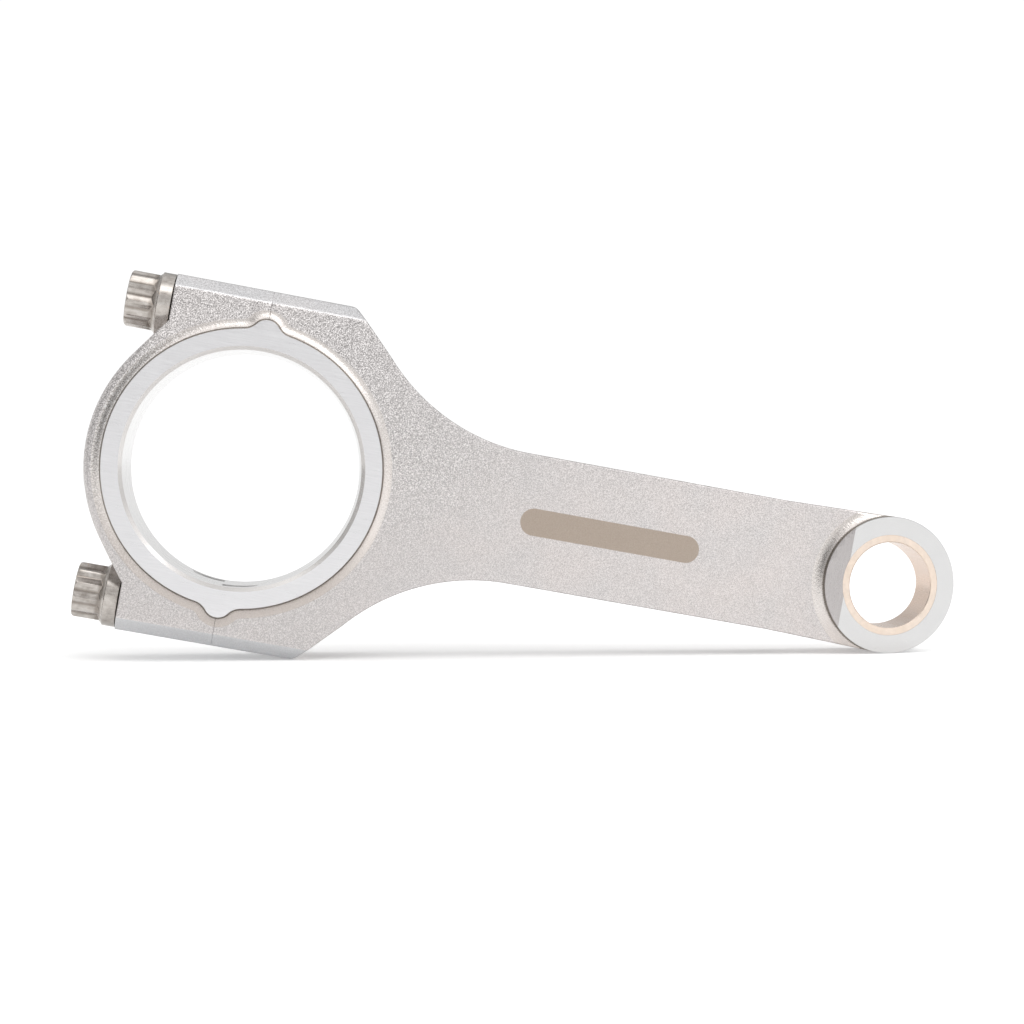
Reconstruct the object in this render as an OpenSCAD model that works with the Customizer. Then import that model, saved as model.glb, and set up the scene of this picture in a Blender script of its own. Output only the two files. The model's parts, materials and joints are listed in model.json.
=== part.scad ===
// Connecting rod with an H-section beam, a bolted big-end cap and a bushed, tapered small end.
// X runs along the rod, Y along the crankshaft and Z across the rod.
// The origin is the centre of the big-end bore. All lengths are in millimetres.

/* [Main sizes] */
// Distance between the centres of the two bores
centre_distance = 144; // [110:0.5:180]
// Diameter of the big-end housing bore
big_bore_d = 50.6; // [40:0.1:60]
// Width of the big end between its thrust faces
big_width = 25; // [18:0.1:32]
// Diameter of the pin bore inside the bush
pin_bore_d = 19; // [16:0.1:24]
// Width of the small end on its beam side, before it tapers
small_width = 18.5; // [14:0.1:26]

/* [Big end] */
// Outside diameter of the raised thrust ring
ring_d = 59.5; // [54:0.1:68]
// Distance from the bore centre to the tip of each ring lobe
lobe_tip = 32.05; // [31:0.05:35]
// Radius of the rounded tip of a lobe
lobe_tip_r = 3; // [2:0.1:4]
// Radius of the hollow where a lobe runs into the ring
lobe_root_r = 4; // [2:0.1:6]
// Half the thickness of the forging around the thrust ring
face_half = 10.8; // [8:0.1:12]
// Radius of the hollow at the foot of the thrust ring
ring_foot_r = 1.7; // [0.5:0.1:2]
// Half the height of the big end across its flat sides
side_half = 38.5; // [36:0.1:44]
// Size of the broad chamfers along the flat sides
side_chamfer = 2.7; // [1:0.1:4]
// Size of the chamfer at each mouth of the big-end bore
bore_chamfer = 0.8; // [0.3:0.1:1.5]
// Outside radius of the cap over the bore
arch_r = 33.6; // [32:0.1:36]
// Radius of the rounded outer edges of the cap
arch_edge_r = 1.8; // [0.5:0.1:3]
// Distance of the bolt seats from the parting face
seat_x = 20.8; // [16:0.1:26]
// Radius of the pocket cut for each bolt flange
seat_r = 7.3; // [7:0.1:9]
// Where the flat side ends and the shoulder starts, from the parting face
corner_x = 17.8; // [12:0.1:24]
// Radius of the hollow sweep from the shoulder to the beam
shoulder_r = 44; // [30:0.5:60]
// Where the sweep meets the beam, from the big-end centre
shoulder_x = 60; // [50:0.5:70]
// Radius of the cutter that made the bearing shell notches
notch_r = 12; // [8:0.5:20]
// Depth of the bearing shell notches at the parting face
notch_depth = 1.5; // [0.8:0.1:2]
// Width of the bearing shell notches
notch_w = 5; // [3:0.1:7]
// Distance of each notch from the middle of the bore, front in the rod and back in the cap
notch_y = 6.5; // [4:0.1:9]

/* [Beam] */
// Half the height of the beam
beam_half = 14.3; // [10:0.1:18]
// Half the thickness of the beam where it meets the small end
beam_thin_half = 7.2; // [5:0.1:9]
// Half the thickness of the web between the two channels
web_half = 2.7; // [2:0.1:5]
// Half the width of the channels at the big end
channel_big_half = 6.8; // [4:0.1:8]
// Half the width of the channels at the small end
channel_small_half = 4.1; // [3:0.1:6]
// Radius of the sweep at the big-end side of a channel
channel_big_r = 26; // [15:0.5:32]
// Radius of the sweep at the small-end side of a channel
channel_small_r = 12; // [6:0.5:16]
// Where each channel ends near the small end, from the big-end centre
channel_end = 124; // [100:0.5:126]

/* [Small end] */
// Outside radius of the small end
eye_r = 15.1; // [13:0.1:18]
// Slope of each tapered face
taper_deg = 9.65; // [0:0.05:15]
// Distance from the pin centre to the start of the taper
taper_start = 10.3; // [6:0.1:14]
// Outside diameter of the bush
bush_d = 22.2; // [21:0.1:26]
// Radius of the hollow at the foot of the small-end boss
eye_foot_r = 1.9; // [0.5:0.1:3]
// Diameter of the two oil holes on the beam side of the small end
oil_hole_d = 2.6; // [1.5:0.1:4]
// Angle of the oil holes from the line across the rod
oil_hole_deg = 45; // [30:1:60]

/* [Bolts] */
// Distance between the axes of the two cap bolts
bolt_spacing = 64; // [60:0.1:70]
// Diameter of the shank and of the thread
bolt_d = 9.48; // [8:0.01:10]
// Diameter of the reduced middle of the shank
bolt_waist_d = 8.4; // [7:0.1:9]
// Diameter of the holes that the bolts pass through
bolt_hole_d = 9.6; // [8.1:0.01:10.2]
// Length of the bolt under its head
bolt_length = 40.4; // [30:0.1:50]
// Diameter of the flange under the head
flange_d = 13.7; // [12:0.1:15]
// Thickness of the flange
flange_t = 3.5; // [2:0.1:5]
// Height of the twelve-point part of the head
head_h = 6.7; // [4:0.1:9]
// Size across the points of the head
head_d = 12.3; // [10:0.1:14]
// Height of the cone between the head and the rim of the flange
flange_cone = 1.5; // [0.5:0.1:2]
// How far the upper bolt's point lies above its front, as tightened
turn_top = 21.8; // [0:0.1:30]
// How far the lower bolt's point lies above its front, as tightened
turn_bottom = 17.5; // [0:0.1:30]

/* [Dowel sleeves] */
// Outside diameter of the sleeves
sleeve_d = 10.8; // [10.4:0.1:11.4]
// Length of a sleeve
sleeve_length = 8; // [5:0.1:12]

/* [Hidden] */
$fn = 96;
eps = 0.01;
big_r = big_bore_d / 2;
big_half = big_width / 2;
pin_r = pin_bore_d / 2;
small_half = small_width / 2;
ring_r = ring_d / 2;
bolt_z = bolt_spacing / 2;
bolt_r = bolt_d / 2;
bolt_hole_r = bolt_hole_d / 2;
sleeve_r = sleeve_d / 2;
sleeve_half = sleeve_length / 2;
flange_r = flange_d / 2;
head_r = head_d / 2;
bush_r = bush_d / 2;
// the straight flank of the cap runs off the arch at this point, as a tangent
flank_x = 27;
flank_z = sqrt(arch_r * arch_r - flank_x * flank_x);
seat_z = flank_z + (flank_x - seat_x) * flank_x / flank_z;
// the straight shoulder leaves the flat side at 45 degrees and runs into the sweep
sweep_z = beam_half + shoulder_r;
tangent_x = shoulder_x - sqrt(shoulder_r * shoulder_r - pow(sweep_z - 29.3, 2));
tangent_z = 29.3;
// the hollow between a lobe and the ring touches both circles
lobe_z = lobe_tip - lobe_tip_r;
root_far = ring_r + lobe_root_r;
root_near = lobe_tip_r + lobe_root_r;
root_z = (root_far * root_far - root_near * root_near + lobe_z * lobe_z) / (2 * lobe_z);
root_x = sqrt(root_far * root_far - root_z * root_z);
touch_ring = [root_x * ring_r / root_far, root_z * ring_r / root_far];
touch_tip = [root_x * lobe_tip_r / root_near,
             lobe_z + (root_z - lobe_z) * lobe_tip_r / root_near];
thin_x = centre_distance - 14;
ease_x = 30;

function arc(cx, cy, r, a0, a1, n) =
    [for (i = [0 : n]) [cx + r * cos(a0 + (a1 - a0) * i / n), cy + r * sin(a0 + (a1 - a0) * i / n)]];
// share of the way from the thick to the thin end of the beam, starting gently
function ease(t) = t < 0.3 ? t * t / 0.6 / 0.85 : (t - 0.15) / 0.85;
function face_at(x) =
    face_half - (face_half - beam_thin_half) * ease(max(0, min(1, (x - ease_x) / (thin_x - ease_x))));
function channel_half_at(x) =
    channel_big_half + (channel_small_half - channel_big_half) * max(0, min(1, (x - 24) / (channel_end - 24)));

// Node to draw

// Drawing plane X-Z, depth along Y
module along_y(depth) {
    rotate([90, 0, 0])
        linear_extrude(height = depth, center = true)
            children();
}

// Drawing plane Y-Z, depth along X from start to stop
module along_x(start, stop) {
    translate([start, 0, 0])
        rotate([90, 0, 90])
            linear_extrude(height = stop - start)
                children();
}

// Revolved about the Y axis
module about_y() {
    rotate([90, 0, 0])
        rotate_extrude()
            children();
}

// Pin or hole along X from start to stop
module rod_x(start, stop, r, z) {
    translate([start, 0, z])
        rotate([0, 90, 0])
            cylinder(h = stop - start, r = r);
}

// Pin or hole along Y
module rod_y(x, z, r, length) {
    translate([x, 0, z])
        rotate([90, 0, 0])
            cylinder(h = length, r = r, center = true);
}

// Half of the space on one side of the parting face
module half_space(side) {
    translate([side * 100, 0, 0])
        cube([200, 60, 120], center = true);
}

// Raised thrust ring with its foot radius on both faces
module thrust_ring() {
    foot = big_half - face_half;
    r = min(ring_foot_r, foot);
    about_y()
        polygon(concat(
            [[big_r - 3, -face_half + 1], [ring_r + r, -face_half + 1], [ring_r + r, -face_half]],
            arc(ring_r + r, -face_half - r, r, 90, 180, 6),
            [[ring_r, -big_half], [big_r - 3, -big_half]]));
    about_y()
        polygon(concat(
            [[big_r - 3, face_half - 1], [ring_r + r, face_half - 1], [ring_r + r, face_half]],
            arc(ring_r + r, face_half + r, r, 270, 180, 6),
            [[ring_r, big_half], [big_r - 3, big_half]]));
}

// Rounded ears of the thrust ring at the parting face
module lobes() {
    for (s = [-1, 1]) {
        scale([1, 1, s]) {
            rod_y(0, lobe_z, lobe_tip_r, big_width);
            difference() {
                along_y(big_width)
                    polygon([[-touch_tip[0], touch_tip[1]], [touch_tip[0], touch_tip[1]],
                             touch_ring, [touch_ring[0], touch_ring[1] - 3],
                             [-touch_ring[0], touch_ring[1] - 3], [-touch_ring[0], touch_ring[1]]]);
                for (e = [-1, 1])
                    rod_y(e * root_x, root_z, lobe_root_r, big_width + 2);
            }
        }
    }
}

// Block of the big end between its flat sides, with the broad side chamfers
module big_end_section() {
    along_x(-60, 40)
        polygon([[-face_half, -side_half + side_chamfer], [-face_half + side_chamfer, -side_half],
                 [face_half - side_chamfer, -side_half], [face_half, -side_half + side_chamfer],
                 [face_half, side_half - side_chamfer], [face_half - side_chamfer, side_half],
                 [-face_half + side_chamfer, side_half], [-face_half, side_half - side_chamfer]]);
}

// Outline of the shoulder and the beam
module rod_plan() {
    difference() {
        polygon([[0, side_half], [corner_x, side_half], [tangent_x, tangent_z],
                 [shoulder_x, tangent_z], [shoulder_x, -tangent_z], [tangent_x, -tangent_z],
                 [corner_x, -side_half], [0, -side_half]]);
        for (s = [-1, 1])
            translate([shoulder_x, s * sweep_z])
                circle(r = shoulder_r, $fn = 240);
    }
    polygon([[shoulder_x - eps, -beam_half], [118, -beam_half], [centre_distance - 0.4, -eye_r + 0.01],
             [centre_distance - 0.4, eye_r - 0.01], [118, beam_half], [shoulder_x - eps, beam_half]]);
}

// Thickness of the forging along the rod, drawn in the X-Y plane
module thickness_plan() {
    xs = [for (i = [0 : 16]) ease_x + (thin_x - ease_x) * i / 16];
    polygon(concat(
        [[-1, -face_half]],
        [for (x = xs) [x, -face_at(x)]],
        [[centre_distance, -beam_thin_half], [centre_distance, beam_thin_half]],
        [for (i = [16 : -1 : 0]) [xs[i], face_at(xs[i])]],
        [[-1, face_half]]));
}

// Taper of both faces of the small end, drawn in the X-Y plane
module taper_plan() {
    x0 = centre_distance - taper_start;
    x1 = centre_distance + 20;
    y1 = small_half - (x1 - x0) * tan(taper_deg);
    polygon([[x0 - 20, -small_half], [x0, -small_half], [x1, -y1],
             [x1, y1], [x0, small_half], [x0 - 20, small_half]]);
}

// Channel cut into one edge of the beam, following the shoulder at the big end
module channel(s) {
    big_x = 24 + channel_big_r;
    small_x = channel_end - channel_small_r;
    xs = [for (i = [0 : 5]) 18 + (channel_end - channel_small_half - 18) * i / 5];
    intersection() {
        scale([1, 1, s])
            along_y(40)
                polygon(concat(
                    [[24, 60]],
                    arc(big_x, web_half + channel_big_r, channel_big_r, 180, 270, 24),
                    arc(small_x, web_half + channel_small_r, channel_small_r, 270, 360, 16),
                    [[channel_end, 60]]));
        translate([0, 0, -60])
            linear_extrude(height = 120)
                polygon(concat(
                    [for (x = xs) [x, -channel_half_at(x)]],
                    arc(channel_end - channel_small_half, 0, channel_half_at(channel_end), -90, 90, 16),
                    [for (i = [5 : -1 : 0]) [xs[i], channel_half_at(xs[i])]]));
    }
}

// Big-end bore with a chamfer at each mouth
module big_bore() {
    rod_y(0, 0, big_r, 60);
    for (s = [-1, 1])
        rotate([90 * s, 0, 0])
            translate([0, 0, big_half - bore_chamfer])
                cylinder(h = bore_chamfer + 1, r1 = big_r, r2 = big_r + bore_chamfer + 1);
}

// Notch that stops a bearing shell from turning, beside the parting face
module shell_notch(y) {
    translate([0, y, 0])
        rod_y(0, -(big_r + notch_depth - notch_r), notch_r, notch_w);
}

// Two oil holes that run from the flanks of the beam into the pin bore
module oil_holes() {
    for (s = [-1, 1])
        translate([centre_distance, 0, 0])
            scale([1, 1, s])
                rotate([0, -oil_hole_deg, 0])
                    translate([0, 0, pin_r - 3])
                        cylinder(h = 20, r = oil_hole_d / 2);
}

// Small-end boss with the hollow at its foot
module eye() {
    r = min(eye_foot_r, small_half - beam_thin_half);
    intersection() {
        rod_y(centre_distance, 0, eye_r, small_width);
        translate([0, 0, -60])
            linear_extrude(height = 120)
                taper_plan();
    }
    intersection() {
        translate([centre_distance, 0, 0])
            about_y()
                polygon(concat(
                    [[eye_r - 3, 0], [eye_r + r, 0], [eye_r + r, beam_thin_half + 0.1]],
                    arc(eye_r + r, beam_thin_half + 0.1 + r, r, 270, 180, 6),
                    [[eye_r - 3, beam_thin_half + 0.1 + r]]));
        foot_plan();
    }
    intersection() {
        translate([centre_distance, 0, 0])
            about_y()
                polygon(concat(
                    [[eye_r - 3, 0], [eye_r + r, 0], [eye_r + r, -beam_thin_half - 0.1]],
                    arc(eye_r + r, -beam_thin_half - 0.1 - r, r, 90, 180, 6),
                    [[eye_r - 3, -beam_thin_half - 0.1 - r]]));
        foot_plan();
    }
}

// Space over the beam beside the small-end boss
module foot_plan() {
    along_y(40)
        polygon([[118, -beam_half], [centre_distance - 8, -eye_r + 0.24],
                 [centre_distance - 8, eye_r - 0.24], [118, beam_half]]);
}

// Forged rod with its beam, its half of the big end and the small-end boss
module rod_body() {
    color([0.76, 0.75, 0.74])
        difference() {
            union() {
                intersection() {
                    along_y(40)
                        rod_plan();
                    translate([0, 0, -60])
                        linear_extrude(height = 120)
                            thickness_plan();
                    union() {
                        big_end_section();
                        translate([35, -30, -60])
                            cube([140, 60, 120]);
                    }
                }
                intersection() {
                    union() {
                        thrust_ring();
                        lobes();
                    }
                    half_space(1);
                }
                eye();
            }
            big_bore();
            shell_notch(-notch_y);
            rod_y(centre_distance, 0, bush_r, 60);
            for (s = [-1, 1]) {
                channel(s);
                rod_x(-1, 40, bolt_hole_r, s * bolt_z);
                rod_x(-1, sleeve_half, sleeve_r, s * bolt_z);
            }
            oil_holes();
        }
}

// Bearing cap with its arch, bolt seats and holes
module cap() {
    color([0.74, 0.73, 0.72])
        difference() {
            intersection() {
                union() {
                    intersection() {
                        along_y(40)
                            polygon([[1, side_half], [-seat_x, side_half], [-seat_x, seat_z],
                                     [-flank_x, flank_z], [-flank_x, -flank_z], [-seat_x, -seat_z],
                                     [-seat_x, -side_half], [1, -side_half]]);
                        big_end_section();
                    }
                    about_y()
                        polygon(concat(
                            [[big_r - 3, -face_half]],
                            arc(arch_r - arch_edge_r, -face_half + arch_edge_r, arch_edge_r, -90, 0, 6),
                            arc(arch_r - arch_edge_r, face_half - arch_edge_r, arch_edge_r, 0, 90, 6),
                            [[big_r - 3, face_half]]));
                    thrust_ring();
                    lobes();
                }
                half_space(-1);
            }
            big_bore();
            shell_notch(notch_y);
            for (s = [-1, 1]) {
                rod_x(-60, 1, bolt_hole_r, s * bolt_z);
                rod_x(-sleeve_half - 0.2, 1, sleeve_r + 0.04, s * bolt_z);
                rod_x(-60, -seat_x, seat_r, s * bolt_z);
            }
        }
}

// Bronze bush, faced off flush with the tapered small end
module bush() {
    color([0.86, 0.74, 0.58])
        difference() {
            intersection() {
                rod_y(centre_distance, 0, bush_r, small_width);
                translate([0, 0, -60])
                    linear_extrude(height = 120)
                        taper_plan();
            }
            rod_y(centre_distance, 0, pin_r, 60);
            oil_holes();
        }
}

// Flanged twelve-point cap bolt
module bolt(z, turn) {
    tip = bolt_length;
    color([0.55, 0.51, 0.47])
        translate([-seat_x, 0, z])
            rotate([0, 90, 0])
                difference() {
                    union() {
                        rotate_extrude()
                            polygon([[0, -flange_t - flange_cone],
                                     [flange_r - 1.55, -flange_t - flange_cone],
                                     [flange_r - 0.25, -flange_t], [flange_r, -flange_t + 0.16],
                                     [flange_r, -0.3], [flange_r - 0.3, 0], [bolt_r + 0.6, 0],
                                     [bolt_r + 0.04, 0], [bolt_r, 0.3], [bolt_r, 6],
                                     [bolt_waist_d / 2, 7], [bolt_waist_d / 2, 15],
                                     [bolt_r, 16], [bolt_r, tip - 1], [bolt_r - 1, tip], [0, tip]]);
                        intersection() {
                            union() {
                                for (a = [0, 30])
                                    rotate([0, 0, a - turn])
                                        translate([0, 0, -flange_t - head_h])
                                            cylinder(h = head_h, r = head_r, $fn = 6);
                            }
                            rotate_extrude()
                                polygon([[0, 0], [head_r + 1, 0], [head_r + 1, -flange_t - head_h + 1.5],
                                         [head_r, -flange_t - head_h + 0.9],
                                         [head_r - 0.4, -flange_t - head_h + 0.3],
                                         [head_r - 1.1, -flange_t - head_h], [0, -flange_t - head_h]]);
                        }
                    }
                    translate([0, 0, -flange_t - head_h - eps])
                        cylinder(h = 0.9, r1 = 1.6, r2 = 0.4);
                    translate([0, 0, tip - 0.9 + eps])
                        cylinder(h = 0.9, r1 = 0.4, r2 = 1.6);
                }
}

// Upper cap bolt
module bolt_top() {
    bolt(bolt_z, turn_top);
}

// Lower cap bolt
module bolt_bottom() {
    bolt(-bolt_z, turn_bottom);
}

// Hollow dowel that lines up the cap with the rod, round a bolt
module sleeve(z) {
    color([0.62, 0.62, 0.63])
        difference() {
            rod_x(-sleeve_half, sleeve_half, sleeve_r, z);
            rod_x(-sleeve_half - 1, sleeve_half + 1, bolt_hole_r, z);
        }
}

// Upper dowel sleeve
module sleeve_top() {
    sleeve(bolt_z);
}

// Lower dowel sleeve
module sleeve_bottom() {
    sleeve(-bolt_z);
}

rod_body();
cap();
bush();
bolt_top();
bolt_bottom();
sleeve_top();
sleeve_bottom();
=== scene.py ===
import json
import math

import bpy
import numpy as np
from mathutils import Matrix, Vector, geometry


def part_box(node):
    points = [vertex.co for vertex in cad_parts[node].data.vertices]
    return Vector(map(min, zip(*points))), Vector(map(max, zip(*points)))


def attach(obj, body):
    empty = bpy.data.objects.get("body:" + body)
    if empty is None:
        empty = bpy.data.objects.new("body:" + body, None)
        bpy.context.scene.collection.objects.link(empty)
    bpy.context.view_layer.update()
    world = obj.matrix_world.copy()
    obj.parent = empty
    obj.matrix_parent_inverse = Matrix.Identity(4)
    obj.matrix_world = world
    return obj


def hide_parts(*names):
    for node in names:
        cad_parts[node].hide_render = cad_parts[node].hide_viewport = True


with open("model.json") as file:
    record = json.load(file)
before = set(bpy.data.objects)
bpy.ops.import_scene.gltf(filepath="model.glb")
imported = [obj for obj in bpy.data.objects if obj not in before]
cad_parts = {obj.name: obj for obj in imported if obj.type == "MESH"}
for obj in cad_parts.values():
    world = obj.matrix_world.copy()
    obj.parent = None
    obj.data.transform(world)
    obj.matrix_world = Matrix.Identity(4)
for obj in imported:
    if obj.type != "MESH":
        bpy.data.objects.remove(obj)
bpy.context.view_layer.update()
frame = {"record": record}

MM = 0.001
MOUNTS = {m["name"]: m for m in frame["record"]["mounts"]}

# ---------------------------------------------------------------- sizes, in millimetres
L = MOUNTS["small_end_bore"]["pos_m"][0] / MM
BORE_R = MOUNTS["big_end_bore"]["dims"]["r_mm"]
PIN_R = MOUNTS["small_end_bore"]["dims"]["r_mm"]
BIG_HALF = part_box("rod_body")[1][1] / MM
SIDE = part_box("rod_body")[1][2] / MM
EYE_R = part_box("rod_body")[1][0] / MM - L
BUSH_R = (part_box("bush")[1][0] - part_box("bush")[0][0]) / MM / 2
SMALL_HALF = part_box("bush")[1][1] / MM
ARCH_R = -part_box("cap")[0][0] / MM
BOLT_Z = (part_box("bolt_top")[1][2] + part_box("bolt_top")[0][2]) / MM / 2
BOLT_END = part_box("bolt_top")[1][0] / MM
FLANGE_R = (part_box("bolt_top")[1][2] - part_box("bolt_top")[0][2]) / MM / 2
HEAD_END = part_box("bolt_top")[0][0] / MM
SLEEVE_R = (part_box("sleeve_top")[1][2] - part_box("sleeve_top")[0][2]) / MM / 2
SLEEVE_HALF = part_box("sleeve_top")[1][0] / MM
FACE = 10.8             # half thickness round the thrust ring
THIN = 7.2              # half thickness of the beam at the small end
RING_R = 29.75
TIP_R, ROOT_R, LOBE_TIP = 3.0, 4.0, 32.05
FOOT_W = 2.15           # width of the hollow round the ring
EYE_FOOT_W = 2.5        # and round the small-end boss
SHADE_LINE_W = 0.3          # width of the line of painted shade in the corner of each hollow
STEP, BLEND = 0.05, 1.7  # wall above each hollow, and how square the hollow is
MOUTH = 0.8             # chamfer of the big-end bore
BAND = 2.7              # chamfer along the flat sides
CREASE = (-0.48, -0.32, -0.16, 0.0, 0.16, 0.32, 0.48)   # rows of points across the crease of that chamfer
SIDE_END = 22.0         # where the chamfer has run out towards the beam
EDGE_ROWS = (0.08, 0.22)
EDGE_R = 0.55           # rounding of the edges along the beam
FLAT_EDGE_R = 0.2       # and along the flat sides
PART_R = 0.13           # and along the parting face
SEAT_X, SEAT_R = -20.8, 7.3
HEAD_R, FLANGE_T = 6.15, 3.5
BOLT_R, WAIST_R = 4.74, 4.2
PITCH = 25.4 / 24
NECK = -4.5             # where the head's flats run out into the cone above the flange
CORNER_X, CORNER_R = 17.8, 2.5
SWEEP_R, SWEEP_X = 44.0, 60.0
BEAM, BEAM_END = 14.3, 118.0
TAN_X, TAN_Z = 27.0, 29.3
THICK_END, THIN_START = 30.0, L - 14    # the beam gets thinner between these
WEB = 2.7
CHAN_START, CHAN_END = 24.0, 124.0
CHAN_BIG, CHAN_SMALL = 6.8, 4.1
CHAN_BIG_R, CHAN_SMALL_R = 26.0, 12.0
CHAN_FLOOR_R, CHAN_NOSE_R = 2.3, 2.5
TAPER, TAPER_X = math.tan(math.radians(9.65)), 10.3
TINY = 0.001
HOLE_R = 4.8
SLEEVE_GAP = 0.04       # play between sleeve and cap
FLANK_X = 27.0
FLANK_Z = math.sqrt(ARCH_R ** 2 - FLANK_X ** 2)
SEAT_Z = FLANK_Z + (FLANK_X + SEAT_X) * FLANK_X / FLANK_Z
OIL_R = 1.3
NOTCH_Y = 6.5           # front notch in the rod, back notch in the cap
MARK_X, MARK_Z = 80.5, -0.2
MARK_HALF, MARK_R = 17.0, 3.0

LOBE_Z = LOBE_TIP - TIP_R
ROOT_Z = ((RING_R + ROOT_R) ** 2 - (TIP_R + ROOT_R) ** 2 + LOBE_Z ** 2) / (2 * LOBE_Z)
ROOT_X = math.sqrt((RING_R + ROOT_R) ** 2 - ROOT_Z ** 2)


# ---------------------------------------------------------------- curves in the plane of the rod, as (x, z)
def arc(cx, cz, r, a0, a1, step=0.6):
    n = max(3, int(math.ceil(math.radians(abs(a1 - a0)) * abs(r) / step)))
    t = np.radians(np.linspace(a0, a1, n + 1))
    return np.c_[cx + r * np.cos(t), cz + r * np.sin(t)]


def line(a, b, step=2.0):
    n = max(1, int(math.ceil(math.dist(a, b) / step)))
    t = np.linspace(0, 1, n + 1)[:, None]
    return np.array(a) * (1 - t) + np.array(b) * t


def join(*parts):
    out = [parts[0]]
    for p in parts[1:]:
        out.append(p[1:] if np.hypot(*(p[0] - out[-1][-1])) < 1e-4 else p)
    return np.concatenate(out)


def flip(pts):
    """The same curve mirrored across the rod's axis and run the other way."""
    return (pts * [1, -1])[::-1]


def half_ring(d, side=1):
    """Right or left half of the thrust ring's outline, d outside it, from the lower lobe up."""
    tip = math.degrees(math.atan2(-(ROOT_Z - LOBE_Z), ROOT_X))
    root = math.degrees(math.atan2(ROOT_Z, -ROOT_X))
    ring = math.degrees(math.atan2(-ROOT_Z, ROOT_X))
    low = join(
        arc(0, -LOBE_Z, TIP_R + d, -90, tip, 0.35),
        arc(ROOT_X, -ROOT_Z, ROOT_R - d, tip + 180, root, 0.3),
        arc(0, 0, RING_R + d, ring, 0, 0.8))
    return join(low, flip(low)) * [side, 1]


def seg_dist(p, poly):
    """Distance from each point to a polyline."""
    best = np.full(len(p), 1e9)
    a, b = poly[:-1], poly[1:]
    ab = b - a
    ll = np.maximum((ab ** 2).sum(1), 1e-12)
    for i in range(0, len(p), 2000):
        q = p[i:i + 2000, None]
        t = np.clip(((q - a) * ab).sum(2) / ll, 0, 1)
        d = q - a - t[..., None] * ab
        best[i:i + 2000] = np.sqrt((d ** 2).sum(2).min(1))
    return best


def inside(p, poly):
    """Which points lie inside a closed polygon."""
    x, y = p[:, 0], p[:, 1]
    hit = np.zeros(len(p), bool)
    for (x0, y0), (x1, y1) in zip(poly, np.roll(poly, -1, 0)):
        cross = (y0 > y) != (y1 > y)
        with np.errstate(divide="ignore", invalid="ignore"):
            hit ^= cross & (x < (x1 - x0) * (y - y0) / (y1 - y0) + x0)
    return hit


RING_LOOP = join(half_ring(0), half_ring(0, -1)[::-1])


def ring_dist(p):
    """Signed distance outside the thrust ring's outline."""
    d = seg_dist(p, RING_LOOP)
    return np.where(inside(p, RING_LOOP), -d, d)


def round_over(d, r):
    """How far an edge of radius r has dropped, d inside it."""
    t = np.clip(r - d, 0, r)
    return r - np.sqrt(np.maximum(r * r - t * t, 0))


def hollow(d, top, bottom, width=FOOT_W, edge=0.12, wall=0.12):
    """Height of a raised face d outside its edge: a rounded edge, a short wall and a hollow foot."""
    t = np.clip((d - STEP) / (width - STEP), 0, 1)
    foot = bottom + (top - edge - wall - bottom) * (1 - (1 - (1 - t) ** BLEND) ** (1 / BLEND))
    side = top - edge - wall * np.clip(d / STEP, 0, 1)
    h = np.where(d < 0, top - round_over(-d, edge), np.where(d < STEP, side, foot))
    return np.where(d > width, -1.0, h)


def foot_steps(width):
    """Distances from a raised edge at which its foot gets a row of points."""
    out = [width * v for v in (0.035, 0.09, 0.16, 0.25, 0.36, 0.48, 0.61, 0.74, 0.87, 1.0)]
    return [-0.13, -0.07, 0.0, STEP] + out


def soft_min(a, b, k):
    """The lower of two heights, with the edge between them rounded."""
    t = np.clip(0.5 + 0.5 * (b - a) / k, 0, 1)
    return b * (1 - t) + a * t - k * t * (1 - t)


def face_at(x):
    """Half thickness of the forging along the rod."""
    t = np.clip((x - THICK_END) / (THIN_START - THICK_END), 0, 1)
    ease = np.where(t < 0.3, t * t / 0.6 / 0.85, (t - 0.15) / 0.85)
    return FACE - (FACE - THIN) * ease


def taper_at(x):
    """Half thickness of the small end, which tapers from TAPER_X short of its middle."""
    return SMALL_HALF - TAPER * np.maximum(x - (L - TAPER_X), 0)


# ---------------------------------------------------------------- meshes
def new_object(name, verts, faces, mats, slots):
    me = bpy.data.meshes.new(name)
    me.from_pydata([tuple(v) for v in verts], [], [tuple(f) for f in faces])
    for m in mats:
        me.materials.append(m)
    me.polygons.foreach_set("material_index", np.asarray(slots, dtype=np.int32))
    me.update()
    ob = bpy.data.objects.new(name, me)
    bpy.context.scene.collection.objects.link(ob)
    return ob


def finish_mesh(ob, angle=28, facet=None):
    """Smooth shading with sharp edges kept, and broad faces that stay flat. facet is where the
    taper starts, which is too slight an angle to be found by itself."""
    me = ob.data
    me.polygons.foreach_set("use_smooth", [True] * len(me.polygons))
    me.set_sharp_from_angle(angle=math.radians(angle))
    if facet:
        co = np.empty(len(me.vertices) * 3)
        me.vertices.foreach_get("co", co)
        co = co.reshape(-1, 3) / MM
        on = (np.abs(co[:, 0] - facet) < 0.01) & (np.abs(co[:, 1]) > SMALL_HALF - 0.01)
        for e in me.edges:
            if on[e.vertices[0]] and on[e.vertices[1]]:
                e.use_edge_sharp = True
    mod = ob.modifiers.new("flat_faces", "WEIGHTED_NORMAL")
    mod.keep_sharp = True
    mod.weight = 80


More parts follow.
